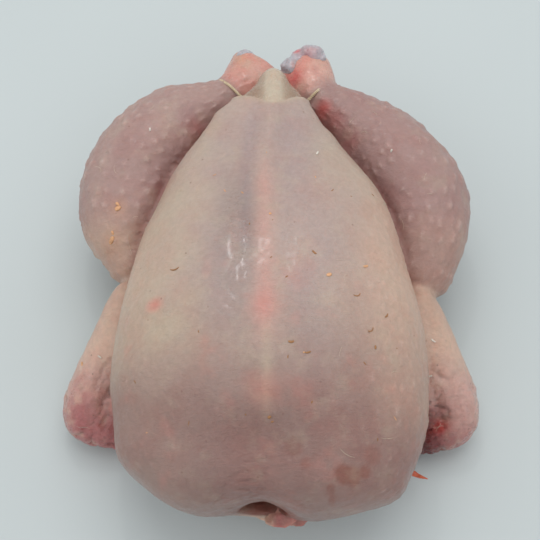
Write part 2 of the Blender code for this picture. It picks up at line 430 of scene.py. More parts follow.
class Graph:
    """Short ways to add and join a material's nodes."""

    def __init__(self, name):
        self.material = bpy.data.materials.new(name)
        self.material.use_nodes = True
        self.tree = self.material.node_tree
        self.shader = self.tree.nodes["Principled BSDF"]

    def put(self, kind, inputs=(), out=0, **settings):
        """Add a node, set or link its inputs by name or number, and return one of its outputs."""
        node = self.tree.nodes.new(kind)
        for key, value in settings.items():
            setattr(node, key, value)
        for key, value in dict(inputs).items():
            self.feed(node.inputs[key], value)
        return node.outputs[out]

    def feed(self, socket, value):
        if isinstance(value, bpy.types.NodeSocket):
            self.tree.links.new(value, socket)
        else:
            socket.default_value = value

    def set(self, **values):
        """Set the main shader's inputs: underscores in a name stand for spaces."""
        for key, value in values.items():
            self.feed(self.shader.inputs[key.replace("_", " ")], value)

    def place(self):
        return self.put("ShaderNodeTexCoord", out="Object")

    def attribute(self, name, out="Color"):
        return self.put("ShaderNodeAttribute", out=out, attribute_name=name)

    def noise(self, scale, detail=3.0, rough=0.5, at=None, warp=0.0):
        inputs = {"Vector": at or self.place(), "Scale": scale, "Detail": detail, "Roughness": rough}
        inputs["Distortion"] = warp
        return self.put("ShaderNodeTexNoise", inputs)

    def cells(self, scale, at):
        return self.put("ShaderNodeTexVoronoi", {"Vector": at, "Scale": scale}, out="Distance")

    def sum(self, kind, a, b):
        return self.put("ShaderNodeMath", {0: a, 1: b}, operation=kind)

    def span(self, value, low, high, to_low=0.0, to_high=1.0):
        """The value carried from one range to another by a smooth step."""
        inputs = {"Value": value, "From Min": low, "From Max": high, "To Min": to_low, "To Max": to_high}
        return self.put("ShaderNodeMapRange", inputs, interpolation_type="SMOOTHSTEP")

    def blend(self, share, a, b, kind="MIX"):
        inputs = {0: share, 6: a, 7: b}
        return self.put("ShaderNodeMix", inputs, out=2, data_type="RGBA", blend_type=kind, clamp_result=False)

    def bump(self, height, distance, strength=1.0, under=None):
        inputs = {"Height": height, "Distance": distance, "Strength": strength}
        if under is not None:
            inputs["Normal"] = under
        return self.put("ShaderNodeBump", inputs, out="Normal")


def shade(colour):
    """A screen colour as the four linear numbers that a colour socket holds."""
    return (*[float(c) for c in linear(colour)], 1.0)


def skin_material(colours):
    """Moist raw skin: the painted tint, broken by mottles, pale follicles and dark pores, over pink flesh."""
    g = Graph("raw_chicken_skin")
    at = g.place()
    tint = g.attribute("tint")
    marks = g.put("ShaderNodeSeparateColor", {0: g.attribute("marks")}, out="Red")
    wet = marks.node.outputs["Green"]
    fine = marks.node.outputs["Blue"]
    mottle = g.noise(70, 5, 0.6, at, 0.4)
    warm = g.blend(g.span(mottle, 0.40, 0.70, 0.0, 0.45), tint, (1.0, 0.84, 0.81, 1), "MULTIPLY")
    pale = g.blend(g.span(g.noise(90, 3, 0.55, at), 0.5, 0.75, 0.0, 0.22), warm, shade(colours.fat))
    small = g.noise(420, 4, 0.65, at)
    grained = g.blend(1.0, pale, g.span(small, 0.25, 0.75, 0.935, 1.055), "MULTIPLY")
    edge = g.sum("ADD", marks, g.span(g.noise(900, 2, 0.5, at), 0.3, 0.7, -0.16, 0.16))
    dot = g.span(edge, 0.20, 1.05, 0.0, 0.34)
    dotted = g.blend(dot, grained, shade(colours.follicle))
    pore_cells = g.cells(185, at)
    pore_pick = g.put("ShaderNodeSeparateColor", {0: pore_cells.node.outputs["Color"]})
    pore = g.sum("MULTIPLY", g.span(pore_cells, 0.13, 0.05), g.span(pore_pick, 0.80, 0.84))
    pored = g.blend(g.sum("MULTIPLY", pore, 0.5), dotted, shade(colours.pore))
    g.set(Base_Color=pored, IOR=1.42, Subsurface_Weight=0.22, Subsurface_Scale=0.0035)
    g.shader.inputs["Subsurface Radius"].default_value = (1.0, 0.42, 0.30)
    rough = g.span(g.noise(260, 4, 0.6, at), 0.3, 0.7, 0.40, 0.56)
    g.set(Roughness=g.sum("SUBTRACT", rough, g.sum("MULTIPLY", wet, 0.22)))
    g.set(Coat_Weight=g.sum("ADD", 0.25, g.sum("MULTIPLY", wet, 0.5)), Coat_Roughness=0.16, Coat_IOR=1.4)
    shaken = g.blend(0.06, at, g.put("ShaderNodeTexNoise", {"Scale": 300.0}, out="Color"))
    crackle = g.cells(820, shaken)
    drawn = g.put("ShaderNodeVectorMath", {0: at, 1: (1.0, 2.6, 1.6)}, operation="MULTIPLY")
    rippled = g.sum("ADD", 0.12, g.sum("MULTIPLY", fine, 0.85))
    ripples = g.bump(g.noise(340, 5, 0.66, drawn, 0.9), 0.0010, rippled)
    low = g.bump(g.noise(420, 5, 0.66, at, 0.3), 0.0008, 0.6, ripples)
    mid = g.bump(crackle, 0.00022, g.sum("ADD", 0.25, g.sum("MULTIPLY", fine, 0.5)), low)
    g.set(Normal=g.bump(dot, 0.0006, 0.5, mid))
    return g.material


# The skin


def cut_pocket(skin):
    """Cut the neck's opening out of the skin: flatter below than above, and wider as it comes out."""
    cutter = mesh_object("neck_cutter", *loft(NECK_POCKET, 8, 4, 2.0, 1.5, 48, 0.7))
    cut = skin.modifiers.new("Cut", "BOOLEAN")
    cut.operation = "DIFFERENCE"
    cut.solver = "EXACT"
    cut.object = cutter
    settle(skin)
    bpy.data.objects.remove(cutter)


def in_pocket(points):
    """1 on the walls of the neck's opening and 0 on the skin round it, from the opening's rings."""
    _, ys, middles, widths, heights = np.array(NECK_POCKET, float)[::-1].T
    x, y, z = points.T
    off_x = (x - NECK_X) / (np.interp(y, ys, widths) + POCKET_SLACK)
    off_z = (z - np.interp(y, ys, middles)) / (np.interp(y, ys, heights) + POCKET_SLACK)
    return ease(1.08, 0.98, np.hypot(off_x, off_z)) * ease(-90, -94, y)


def shares(points, tightness=2.8):
    """Each form's share of each point: e to the minus its distance over the tightness, scaled so that
    a point's shares add up to 1."""
    places = {name: reach(points, name) for name in FORMS}
    weights = {name: np.exp(-np.clip(place[0], -3, 60) / tightness) for name, place in places.items()}
    total = sum(weights.values())
    return places, {name: weight / total for name, weight in weights.items()}


def wrinkles(points, across, width, depth, seed):
    """Narrow grooves: 1 less the size of the sine of the distance across, to the third power, where
    noise bends the distance."""
    bent = across / width + 1.6 * rough_noise(points, width * 2.2, 3, seed)
    return -depth * (1 - np.abs(np.sin(math.pi * bent))) ** 3


def shape_skin(skin, sizes):
    """Give the plain skin its muscles, folds, wrinkles and follicles, by moves along its normals."""
    mesh = skin.data
    near = Neighbours(mesh)
    points = near.smooth(read_points(mesh), sizes.smoothing)
    write_points(mesh, points)
    inside = in_pocket(points)
    normals = read_normals(mesh)
    x, y, z = points.T
    up = normals[:, 2]
    places, share = shares(points)
    legs = share["leg_left"] + share["leg_right"] + share["thigh_left"] + share["thigh_right"]
    wings = share["wing_left"] + share["wing_right"] + share["web_left"] + share["web_right"]
    trunk = 1 - legs - wings
    top = ease(0.15, 0.7, up) * trunk

    # How deep each point lies in a crease: how far its neighbourhood's mean stands out past it.
    wide = near.smooth(points, CREASE_ROUNDS)
    hollow = ((wide - points) * normals).sum(axis=1)
    crease = ease(0.25, 1.3, hollow)

    off_keel = x - (4.2 * ease(20, 64, y) - 2.5)
    # The skin ends at the keel's tip in two arcs, and the cartilage runs in under it between them.
    tip = y - 0.02 * off_keel**2 - 1.6 * hill(np.abs(off_keel), 11, 6) + 2.4 * hill(off_keel, 0, 5)
    knob = ease(57, 59, tip) * share["breast"] * ease(66, 74, z)
    ridge = sizes.ridge * hill(off_keel, 0, 4.2) * ease(-25, 20, y) * (1 - 0.4 * knob)
    groove = -sizes.groove * hill(off_keel, 0, 9) * ease(-55, -95, y) * ease(-136, -118, y)
    beside = -0.9 * (hill(off_keel, -9, 4) + hill(off_keel, 9, 4)) * ease(-55, -10, y) * ease(70, 45, y)
    lobes = 1.6 * (hill(np.abs(off_keel), 30, 18) - 0.3) * ease(40, -10, y) * ease(-125, -90, y)
    knob_form = knob * (1.9 * hill(off_keel, 0, 6.2) - 1.3)
    front = ease(-120, -136, y) * ease(12, 40, z)
    fuller = front * (4.2 * hill(x, -46, 22) - 3.0 * hill(x, 42, 22))
    rim = 0.6 * hill(tip, 57.1, 1.3) * share["breast"] * ease(66, 74, z) * (1 - 0.8 * hill(off_keel, 0, 5))
    move = (ridge + groove + beside + lobes) * top + knob_form + fuller + rim
    move += 0.9 * rough_noise(points, 36, 2, 11) + 0.42 * rough_noise(points, 13, 2, 23)

    # The wings' wrists are crumpled, in folds that run in towards the breast as they go up.
    wrist = wings * ease(-48, -72, y)
    across = 0.60 * np.abs(x) + 0.80 * y + 3.0 * noise(points, 9, 27)
    inner = 0.45 + 0.55 * ease(90, 78, np.abs(x) + 2 * noise(points, 8, 33))
    patchy = ease(-0.3, 0.35, noise(points, 10, 29)) * inner
    move += wrinkles(points, across, 6.8, sizes.wrinkle, 31) * wrist * patchy
    finer = wrinkles(points, 0.9 * np.abs(x) + 0.3 * y, 4.6, 0.5 * sizes.wrinkle, 37)
    move += finer * wrist * inner * (1 - 0.6 * patchy)
    move += wrist * inner * 1.3 * rough_noise(points, 7, 3, 41)
    move += wings * 0.3 * rough_noise(points, 5, 2, 43) + wrist * 0.4 * rough_noise(points, 3.4, 2, 44)
    move += legs * (0.4 * rough_noise(points, 6.5, 2, 45) + 0.5 * rough_noise(points, 19, 2, 49))

    # The skin of the breast draws together in slanting lines over the neck's opening.
    mouth = hill(x + 6, 0, 30) * ease(-88, -112, y) * ease(20, 40, z)
    fan = np.abs(x + 4) * 0.75 + y * 0.66
    drawn = mouth * trunk * ease(-0.35, 0.4, noise(points, 9, 57))
    move += wrinkles(points, fan, 5.5, 0.8, 47) * drawn + 0.35 * mouth * trunk * rough_noise(points, 5, 2, 55)
    move += wrinkles(points, 0.9 * x + 0.35 * y, 9, 0.35, 53) * trunk * top * ease(-10, -60, y)
    move += 0.13 * rough_noise(points, 4.5, 2, 59)
    under_breast = np.exp(-((np.clip(places["breast"][0], 0, 60) / 4.0) ** 2)) * (legs + 0.6 * wings)
    move -= sizes.crease * (0.4 * crease * trunk + under_breast) * ease(20, 34, z)

    # The two lobes of the breast part at the neck, and the skin sinks between them to the opening.
    sink = hill(x, NECK_X, 15) * ease(-106, -132, y) * hill(z, 52, 22)
    lip = hill(x + 4, 0, 17) * ease(-112, -122, y) * hill(z, 28, 6)
    vent = hill(x, 0, 11) * hill(z, 44 + 0.03 * x**2, 4.5) * ease(56, 64, y) * trunk
    move -= 5.0 * vent

    # Follicles stand in a honeycomb that follows each form: close and tall on the legs, and wide and
    # low on the breast.
    follicle = np.zeros(len(points))
    for name in ("leg_left", "leg_right", "thigh_left", "thigh_right"):
        gap, own = dots(places[name][2] * 24, places[name][1] * 0.8, sizes.follicle_gap, 1.3, 61)
        follicle += share[name] * np.exp(-((gap / 1.6) ** 2)) * (0.62 + 0.5 * own)
    for name in ("wing_left", "wing_right", "web_left", "web_right"):
        gap, own = dots(places[name][2] * 14, places[name][1], 5.4, 1.0, 67)
        follicle += share[name] * np.exp(-((gap / 1.2) ** 2)) * (0.45 + 0.35 * own)
    flank = (ease(36, 54, x) + 0.6 * ease(44, 62, -x)) * ease(35, 5, y)
    for name in ("breast", "abdomen", "back", "tail"):
        gap, own = dots(places[name][2] * 62, places[name][1], 9.0, 2.4, 71)
        seen = ease(0.1, 0.5, own)
        follicle += share[name] * np.exp(-((gap / 1.2) ** 2)) * seen * 0.5
        gap, own = dots(places[name][2] * 62, places[name][1], 5.2, 1.3, 73)
        follicle += share[name] * np.exp(-((gap / 1.5) ** 2)) * flank * (0.45 + 0.3 * own)
    shank = (share["leg_left"] + share["leg_right"]) * ease(84, 90, y)
    follicle *= (1 - knob) * (1 - shank) * (1 - crease)
    move += sizes.follicle_height * follicle * (0.35 + 0.65 * legs)
    move += sizes.follicle_height * 0.3 * follicle * flank * trunk
    points = points + normals * move[:, None]
    points[:, 1] += sizes.sink * sink - 3.0 * lip
    points[:, 2] = np.maximum(points[:, 2], 0)
    write_points(mesh, points)
    return {
        "points": points, "share": share, "breast_gap": places["breast"][0], "legs": legs, "wings": wings,
        "trunk": trunk, "off_keel": off_keel, "knob": knob, "wrist": wrist, "mouth": mouth,
        "follicle": follicle, "under_breast": under_breast, "lip": lip, "rim": rim, "inside": inside,
        "vent": vent,
    }


# Marks on the skin: x, y, radius, strength and colour, in the bird's own millimetres, seen from above.
MARKS = (
    (-52, -53, 3.5, 0.75, "sore"), (31.5, -127.5, 3.6, 0.9, "bruise"), (36, -128, 3.8, 0.95, "bruise"),
    (41, -126, 3, 0.8, "bruise"), (-50, -68, 7, 0.4, "fat"), (-43, -63, 5, 0.35, "fat"),
    (26, -133, 2, 0.6, "bruise"), (27, -136, 1.5, 0.6, "bruise"), (44, -119, 4.5, 0.45, "bruise"),
    (10, -118, 4, 0.4, "bruise"), (15, -124, 2.5, 0.4, "bruise"), (-74, 11, 4, 0.40, "scald"),
    (-78, -3, 4, 0.45, "scald"), (-36, 55, 6, 0.40, "raw"), (-52, 22, 6, 0.30, "raw"),
    (27, 67, 4, 0.6, "blood"), (33, 60, 5, 0.5, "raw"), (40, 51, 5, 0.35, "raw"), (-3, -57, 6, 0.3, "sore"),
    (-2.5, -94, 7, 0.3, "sore"),
)


def mark_coats(x, y, z, veil):
    """Each mark's colour and its cover of each point: a bruise ends sharply, and the rest fade out."""
    for mark_x, mark_y, radius, strength, kind in MARKS:
        soft = 0.2 if kind == "bruise" else 0.7
        gap = np.hypot(x - mark_x, y - mark_y) * (1 + 0.35 * veil)
        spot = ease(radius * (1 + soft), radius * (0.8 - soft), gap)
        yield kind, spot * strength * (z > MARKS_ABOVE)


def paint_skin(mesh, colours, shape):
    """Paint the skin: each region in its own colour, blended by its share of each point, with painted shade
    in the folds by the legs, beside the keel, towards the neck end and in the neck's opening, and painted
    light on the upper wings.
    """
    points, share = shape["points"], shape["share"]
    x, y, z = points.T
    off_keel, knob, wings, legs = shape["off_keel"], shape["knob"], shape["wings"], shape["legs"]
    trunk = shape["trunk"]
    cloud = rough_noise(points, 30, 3, 83)
    veil = rough_noise(points, 12, 2, 89)
    band = hill(np.abs(off_keel + 3 * cloud), 22, 15) * ease(62, 40, y)
    stripe = hill(off_keel + 0.8 * veil, 0, 5.0) * ease(-84, -60, y) * ease(30, 0, y)
    # Painted shade: a darker line down each side of the keel's ridge, stronger on the left, where the ridge
    # shades the skin beside it.
    keel_side_shade = (hill(off_keel, -8.5, 4) + 0.5 * hill(off_keel, 9, 5)) * ease(-66, -20, y) * ease(66, 40, y)
    blotch = ease(0.15, 0.85, rough_noise(points, 9, 3, 139)) * ease(10, -60, y)
    # Painted shade: the legs are painted darker as they run in under the breast's edge.
    leg_shade_by_breast = legs * np.exp(-((np.clip(shape["breast_gap"], 0, 60) / 15) ** 2))
    knee = legs * ease(26, -6, y + 0.3 * (z - 45))
    low = wings * ease(-70, -90, y + 4 * veil - 0.3 * (z - 20) + 5 * (x > 0))
    pale = ease(0.0, 0.7, rough_noise(points, 6, 3, 157)) * ease(-50, -64, y)
    cream = knob * hill(off_keel, 0, 4.9)
    shank_left = share["leg_left"] * ease(-1, 4, 0.66 * (y - 80) + 0.75 * (x + 21) + 2 * veil)
    shank_right = share["leg_right"] * ease(-2, 7, 0.82 * (y - 78) - 0.57 * (x - 26) + 3 * veil)
    patch = ease(0.0, 0.8, rough_noise(points, 6, 3, 149))
    coats = [
        ("muscle", trunk * band * np.clip(0.5 + 0.55 * cloud, 0, 1)),
        ("peach", trunk * ease(34, 56, np.abs(off_keel) - 0.12 * (y + 40)) * (0.55 + 0.3 * cloud)),
        ("muscle", trunk * (hill(x, 24, 16) * 0.55 + hill(x, 0, 14) * 0.4) * hill(y, 42, 24)),
        # Painted shade: the breast is painted darker towards the neck end, where its surface turns down away
        # from the lamp above.
        ("neck_end_shade", trunk * ease(-30, -108, y) * (0.8 + 0.2 * cloud)),
        ("neck_red", trunk * ease(-60, -112, y) * (0.45 + 0.25 * ease(0, 40, x) + 0.25 * veil)),
        ("keel_stripe", trunk * stripe * (0.55 + 0.3 * veil + 0.35 * hill(y, -58, 16))),
        ("fat", trunk * hill(off_keel, 1, 2.6) * ease(-60, -72, y) * ease(-112, -96, y) * 0.35),
        # Painted shade beside the keel's ridge, in the muscle's colour.
        ("muscle", trunk * keel_side_shade * 0.75),
        ("fat", trunk * ease(16, 38, -off_keel) * ease(-95, -60, y) * (0.35 + 0.4 * veil)),
        ("fat", trunk * ease(12, 32, off_keel) * ease(-10, 30, y) * 0.45),
        ("sore", trunk * blotch * 0.2),
        ("peach", trunk * ease(38, 56, x) * ease(30, 0, y) * ease(-120, -90, y) * 0.35),
        ("leg", legs * (0.9 + 0.12 * cloud)),
        ("leg_deep_and_shade", legs * ease(-0.1, 0.8, rough_noise(points, 26, 3, 93)) * 0.68),
        ("fat", legs * ease(0.25, 0.9, rough_noise(points, 22, 3, 97)) * 0.3),
        # Painted shade on the legs under the breast's edge.
        ("leg_deep_and_shade", leg_shade_by_breast * 0.75),
        ("leg_deep_and_shade", (share["leg_right"] + share["thigh_right"]) * (0.45 + 0.2 * cloud)),
        ("peach", knee * (0.8 + 0.25 * veil) * np.where(x > 0, 0.4, 1)),
        # Painted light: the upper wing's own pale skin, painted lighter still for light bounced up onto it
        # from the floor.
        ("wing", wings * ease(-5, -30, y) * 0.95),
        ("peach", (wings + trunk) * hill(y, -28, 16) * ease(56, 66, np.abs(x)) * 0.6),
        ("wing_end", wings * ease(-50, -74, y + 5 * veil)),
        ("wing_red", low * 0.85),
        ("wing_red", wings * hill(x, -93, 4) * ease(-58, -70, y) * 0.5),
        ("wing", wings * pale * 0.62),
        ("wound", wings * hill(x, -71, 6) * ease(-72, -84, y) * 0.45),
        ("wound", wings * hill(x, 77, 11) * ease(-75, -85, y + 3 * veil) * 0.95),
        ("wound", wings * hill(x, 74, 9) * ease(-83, -91, y) * 0.5),
        ("wing_end", wings * ease(84, 92, x) * ease(-96, -84, y) * ease(-60, -72, y) * 0.55),
        ("blood", wings * hill(x, 83.5, 4) * hill(y, -87, 3.5) * 0.8),
        ("knob_side", knob * 0.9),
        ("knob", np.clip(cream * 1.6, 0, 1) * 0.95),
        ("shank_left", shank_left),
        ("shank_right", shank_right),
        ("sore", shank_left * ease(0.1, 0.8, veil + 0.4) * ease(93, 99, y) * 0.6),
        ("scald", shank_left * hill(x, -16, 5) * hill(y, 97, 5) * 0.7),
        ("blood", shank_right * hill(x, 12, 5) * hill(y, 86, 6) * 0.9),
        ("sore", shank_right * ease(0.1, 0.7, veil) * 0.5),
        ("raw", (shank_left + shank_right) * patch * 0.28),
        ("fat", (shank_left + shank_right) * ease(0.1, 0.8, rough_noise(points, 7, 3, 151)) * 0.4),
        ("raw", shape["mouth"] * hill(x + 6, 0, 22) * ease(-104, -120, y) * 0.2),
        *mark_coats(x, y, z, veil),
        # Painted shade, over the skin's own redness: the skin deep in the creases by the legs is painted
        # darker and redder.
        ("fold_shade", shape["under_breast"] * ease(24, 40, z) * 0.8),
        ("peach", shape["lip"] * 0.9),
        ("raw", shape["vent"] * 0.7),
        # Painted shade: the walls of the neck's opening are painted a dark red-brown, raw flesh darkened for
        # the shade inside the opening.
        ("inside", shape["inside"] * 0.95),
        ("fat", np.clip(shape["rim"] * 1.3, 0, 1) * 0.7),
    ]
    tint = np.repeat(linear(colours.breast)[None], len(points), axis=0)
    for name, cover in coats:
        tint = paint(tint, getattr(colours, name), cover)
    tint = tint * (1 + 0.10 * shape["follicle"] * trunk)[:, None]
    put_colour(mesh, "tint", tint)
    wet = 0.9 * knob + 0.8 * shape["wrist"] + 0.8 * (shank_left + shank_right) + 0.4 * ease(-95, -120, y)
    glossy = trunk * hill(x, -15, 10) * hill(y, -20, 38)
    wet = np.clip(wet + 0.9 * glossy, 0, 1) * (1 - shape["inside"])
    fine = np.clip(0.42 + 0.5 * wings + 0.5 * shape["mouth"] + 0.7 * glossy - 0.9 * knob, 0, 1)
    put_colour(mesh, "marks", np.stack([shape["follicle"], wet, fine], axis=1))


def make_skin(sizes, colours):
    """The whole skin: the closed forms joined, the neck's opening cut, then shaped and painted."""
    skin = mesh_object("chicken_skin", *joined([loft(*FORMS[name]) for name in FORMS]))
    remesh(skin, sizes.voxel)
    cut_pocket(skin)
    shape = shape_skin(skin, sizes)
    paint_skin(skin.data, colours, shape)
    skin.data.shade_smooth()
    skin.data.materials.clear()
    skin.data.materials.append(skin_material(colours))
    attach(skin, "root")
    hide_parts("chicken")
    return skin


# Cut ends


def lump(middle, radii, tilt=0.0, step=0.8):
    """An egg: a loft along a short level line at the tilt, whose domes make most of its length."""
    way = np.array((math.cos(tilt), math.sin(tilt), 0)) * 0.25 * radii[0]
    ends = [(*(np.array(middle) + k * way), radii[1], radii[2]) for k in (-1, 0, 1)]
    return loft(ends, 0.75 * radii[0], 0.75 * radii[0], 2.0, step, 32)


def fleshy(name, forms, voxel, rounds, swell, size, seed):
    """Join forms into one lumpy piece: smoothed, then moved along its normals by noise of the given size."""
    piece = mesh_object(name, *joined(forms))
    remesh(piece, voxel)
    mesh = piece.data
    near = Neighbours(mesh)
    write_points(mesh, near.smooth(read_points(mesh), rounds))
    points, normals = read_points(mesh), read_normals(mesh)
    points += normals * (swell * rough_noise(points, size, 3, seed))[:, None]
    points[:, 2] = np.maximum(points[:, 2], 0.3)
    write_points(mesh, points)
    mesh.shade_smooth()
    return piece, near, points, normals


def wet_material(name, rough, glow, coat, bump, scale):
    """Wet bare tissue: the painted tint, faint clouds in it, and a glossy film over small lumps."""
    g = Graph(name)
    at = g.place()
    cloud = g.span(g.noise(scale, 4, 0.6, at, 0.5), 0.3, 0.7, 0.86, 1.12)
    g.set(Base_Color=g.blend(1.0, g.attribute("tint"), cloud, "MULTIPLY"), Subsurface_Weight=glow)
    g.set(Subsurface_Scale=0.003, Coat_Weight=coat, Coat_Roughness=0.12, IOR=1.4)
    g.shader.inputs["Subsurface Radius"].default_value = (1.0, 0.5, 0.4)
    g.set(Roughness=g.span(g.noise(scale * 2, 3, 0.5, at), 0.3, 0.7, rough, rough + 0.15))
    g.set(Normal=g.bump(g.noise(scale * 3, 4, 0.6, at), 0.0005, bump))
    return g.material


def finish_raw(piece, tint, material):
    """Give a piece of raw tissue its tint and its only material, and fix it to the bird."""
    put_colour(piece.data, "tint", tint)
    piece.data.materials.clear()
    piece.data.materials.append(material)
    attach(piece, "root")
    return piece


# The cartilage knobs at the hocks: middle, half sizes along, across and up, and turn.
HOCKS = {
    "hock_cartilage_left": (
        ((-13, 100.5, 66), (5.2, 4.4, 4.6), 0.1),
        ((-9.5, 99.5, 58), (8, 5, 6), 0.0),
    ),
    "hock_cartilage_right": (
        ((10.5, 94, 67.5), (4.8, 4.6, 4.6), 1.2),
        ((21.5, 100.5, 68), (6.8, 5.8, 5.6), -0.3),
        ((15.5, 101, 67), (4.2, 3.8, 4.0), 0.9),
        ((14.5, 97.5, 68.5), (4.6, 3.8, 3.4), 0.5),
        ((25, 99, 68.5), (4.0, 3.4, 3.2), -0.6),
        ((15, 101, 58), (8.5, 5.5, 6), 0.0),
    ),
}


def make_hock(name, colours):
    """The pearly knobs of one cut hock, with flesh left on them and painted shade in the hollows between
    them.
    """
    forms = [lump(*each) for each in HOCKS[name]]
    piece, near, points, normals = fleshy(name, forms, 0.5, 3, 0.9, 3.6, 103)
    x, y, z = points.T
    tint = np.repeat(linear(colours.cartilage)[None], len(points), axis=0)
    veil = rough_noise(points, 5, 3, 107)
    hollow = ((near.smooth(points, 14) - points) * normals).sum(axis=1)
    # Painted shade: the cartilage is painted darker in the hollows between its knobs.
    tint = paint(tint, colours.cartilage_hollow_shade, ease(0.0, 0.35, hollow + 0.3 * veil) * 0.85)
    red = (14, 102) if name.endswith("right") else (-6, 104)
    tint = paint(tint, colours.wing_red, hill(np.hypot(x - 20, y - 98), 0, 4.5) * 0.45)
    tint = paint(tint, colours.blood, hill(np.hypot(x - red[0], y - red[1]), 0, 1.9) * 0.75)
    tint = paint(tint, colours.shank_left, ease(0.3, 0.8, rough_noise(points, 9, 3, 109)) * 0.5)
    tint = paint(tint, colours.shank_right, ease(63.5, 60.5, z) * 0.9)
    return finish_raw(piece, tint, wet_material(name, 0.25, 0.35, 0.5, 0.35, 420))


# Torn flesh: stations of each strip, from where it is rooted to its ragged end.
NECK_FLAP = (
    ((13, -124, 41, 5, 2.2), (9, -131, 38, 6.5, 1.4), (4, -134, 35.5, 5.5, 1.0), (-1, -135, 33.5, 2.5, 0.6)),
    (
        (14, -124, 41, 5, 2.2), (13, -131.5, 37.5, 6.5, 1.4), (11.5, -134.5, 34, 5, 1.0),
        (10, -135.5, 32, 2, 0.6),
    ),
    ((15, -124, 40, 5, 2.2), (17, -131, 37.5, 4.5, 1.4), (20.5, -133.5, 36, 2.2, 0.8)),
    ((-15, -124, 29, 2.2, 1.2), (-8, -128, 27.5, 3.5, 1.6), (0, -130, 26.5, 4, 1.8), (8, -129, 27, 3, 1.6)),
)
SHRED = (
    (
        (58, -99, 16, 2.6, 1.5), (66, -104, 14, 2.2, 0.9), (71.5, -107.8, 12.8, 1.4, 0.7),
        (77, -110, 13.5, 0.5, 0.4),
    ),
    ((62, -101, 13.5, 1.9, 1.1), (66.5, -104.8, 12, 1.3, 0.7), (69, -107.8, 10, 0.5, 0.4)),
)


def make_neck_flap(colours):
    """The torn flesh that hangs from the neck's opening: flat tapered strips, joined, lumpy and ragged."""
    forms = [loft(strip, 3, 2, 2.0, 0.8, 36) for strip in NECK_FLAP]
    piece, _, points, _ = fleshy("neck_flap", forms, 0.5, 2, 0.6, 3.0, 109)
    veil = rough_noise(points, 5, 3, 113)
    streak = rough_noise(points * (1.0, 0.25, 0.25), 1.6, 2, 127)
    tint = np.repeat(linear(colours.neck_flesh)[None], len(points), axis=0)
    tint = paint(tint, colours.raw, ease(-0.2, 0.6, veil) * 0.55)
    tint = paint(tint, colours.peach, ease(0.1, 0.7, streak) * 0.35)
    tint = paint(tint, colours.wound, hill(points[:, 0], 17, 5) * 0.35)
    tint = paint(tint, colours.peach, ease(4, -4, points[:, 0]) * 0.9)
    return finish_raw(piece, tint, wet_material("torn_neck_flesh", 0.3, 0.25, 0.4, 0.5, 300))


def make_shred(colours):
    """The pointed, forked shred of dried skin that sticks out low on the right."""
    forms = [loft(strip, 2, 0.6, 2.0, 0.5, 20) for strip in SHRED]
    piece, _, points, _ = fleshy("skin_shred", forms, 0.35, 2, 0.3, 2.2, 131)
    tint = np.repeat(linear(colours.shred)[None], len(points), axis=0)
    tint = paint(tint, colours.raw, ease(-0.2, 0.6, rough_noise(points, 3, 2, 137)) * 0.5)
    return finish_raw(piece, tint, wet_material("dried_skin_shred", 0.35, 0.1, 0.2, 0.5, 500))


# Small things on the skin


def on_skin(tree, x, y):
    """Where a line straight down at x and y first meets the skin, and the skin's normal there."""
    start = (np.array((x, y, 180.0)) - BIRD_MIDDLE) * MM
    place, normal, _, _ = tree.ray_cast(Vector(start), Vector((0, 0, -1)))
    if place is None:
        return None
    return np.array(place) / MM + BIRD_MIDDLE, np.array(normal)


def laid_strip(tree, x, y, turn, long, wide, thick, bend, lift, steps=9, sides=6):
    """A thin strip from x and y, laid on the skin: its heading changes evenly by the bend, its end
    stands off the skin by the lift, and its width follows the square root of a parabola to a point
    at each end."""
    middles, normals = [], []
    for k in range(steps + 1):
        heading = turn + bend * (k / steps - 0.5)
        met = on_skin(tree, x, y)
        if met is None:
            return None
        middles.append(met[0] + met[1] * (0.4 * thick + lift * (k / steps) ** 2))
        normals.append(met[1])
        x += math.cos(heading) * long / steps
        y += math.sin(heading) * long / steps
    middles, normals = np.array(middles), np.array(normals)
    way = unit(np.gradient(middles, axis=0))
    side = unit(np.cross(way, normals))
    over = np.cross(side, way)
    t = np.linspace(0.04, 0.96, steps + 1)
    full = np.sqrt(4 * t * (1 - t))[:, None, None]
    angle = (np.arange(sides) * 2 * math.pi / sides)[None, :, None]
    rings = middles[:, None] + full * (
        side[:, None] * wide * np.cos(angle) + over[:, None] * thick * np.sin(angle)
    )
    return closed_tube(rings)


# Flecks of dried outer skin: x, y, heading, length, half width, bend and colour.
FLECKS = (
    (-76, 10, 0.6, 3.0, 1.3, 0.8, "orange"), (-74, 12, 2.4, 2.0, 0.8, -0.6, "orange"),
    (-79, -4, 0.9, 3.2, 1.1, 0.6, "orange"), (-77, -1, 2.0, 2.0, 0.7, 0.5, "orange"),
    (-45, -37, 0.1, 4.6, 0.35, 1.4, "brown"), (-0.5, -12, 0.4, 1.2, 0.6, 0.2, "orange"),
    (19, -31, -0.7, 2.6, 0.5, 1.0, "brown"), (25, -43, 0.4, 2.4, 0.9, 0.8, "orange"),
    (8, -74, 0.1, 2.6, 0.6, 1.6, "brown"), (15, -79, 0.2, 2.8, 0.45, 1.2, "brown"),
    (37, -51, 0.5, 4.0, 0.3, 2.4, "brown"), (42, -36, 0.5, 2.4, 0.6, 0.8, "orange"),
    (51, -59, 1.0, 2.6, 0.4, 1.2, "brown"), (43, -67, 0.8, 3.6, 0.3, 2.2, "brown"),
    (46, -75, 1.6, 1.8, 0.5, 0.8, "brown"), (-1, -106, 0.5, 1.6, 0.7, 0.3, "brown"),
    (-92, -60, 1.8, 2.4, 0.7, 0.6, "orange"),
)
